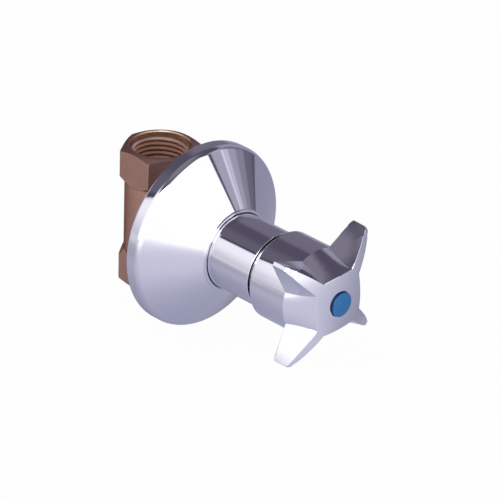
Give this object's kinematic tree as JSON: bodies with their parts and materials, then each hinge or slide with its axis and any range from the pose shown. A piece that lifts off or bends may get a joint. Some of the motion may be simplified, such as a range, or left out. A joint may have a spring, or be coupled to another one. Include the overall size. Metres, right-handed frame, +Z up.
{
  "type": "concealed stop valve",
  "caption": "Concealed screw-down stop valve with threaded pipe ports, conical wall flange, chromed sleeve and cross-shaped handle with a blue index button.",
  "frame": {"origin": "on the pipe line at the first full turn of the inlet port's thread, 0.5 mm inside its mouth", "axes": "+Z up the pipe line from the inlet to the outlet, -Y out of the wall towards the handle"},
  "size_m": [0.068, 0.1058, 0.068],
  "materials": {
    "bronze_casting": "raw cast bronze",
    "brass_turned": "turned brass",
    "chrome_plate": "polished chrome plate",
    "rubber_black": "moulded rubber",
    "steel_bright": "bright stainless steel",
    "fibre_gasket": "pressed fibre",
    "white_plastic": "self-lubricating plastic",
    "blue_plastic": "glossy blue plastic"
  },
  "bodies": {
    "fixed": {"valve_body": "bronze_casting", "bonnet_gasket": "fibre_gasket", "bonnet": "brass_turned", "thrust_washer": "white_plastic", "sleeve": "chrome_plate", "guide_ring": "white_plastic"},
    "spindle_group": {"spindle": "brass_turned", "spindle_ring_inner": "rubber_black", "spindle_ring_outer": "rubber_black", "retaining_clip": "steel_bright", "spindle_extension": "brass_turned", "handle": "chrome_plate", "lock_washer": "steel_bright", "handle_screw": "steel_bright", "index_button": "blue_plastic"},
    "valve_group": {"valve_carrier": "brass_turned", "valve_washer": "rubber_black", "washer_nut": "brass_turned"},
    "flange_group": {"flange": "chrome_plate", "flange_grip_ring": "rubber_black"}
  },
  "joints": [
    {"name": "spindle_turn", "type": "hinge", "parent": "fixed", "child": "spindle_group", "pos_m": [0, 0, 0.0262], "axis": [0, -1, 0], "range_deg": [0, 900]},
    {"name": "valve_lift", "type": "slide", "parent": "fixed", "child": "valve_group", "axis": [0, -1, 0], "range_m": [0, 0.005]},
    {"name": "flange_slide", "type": "slide", "parent": "fixed", "child": "flange_group", "axis": [0, -1, 0], "range_m": [-0.011, 0.018]}
  ],
  "couplings": [
    {"joint": "valve_lift", "follows": "spindle_turn", "m_per_rad": 0.00031828}
  ]
}
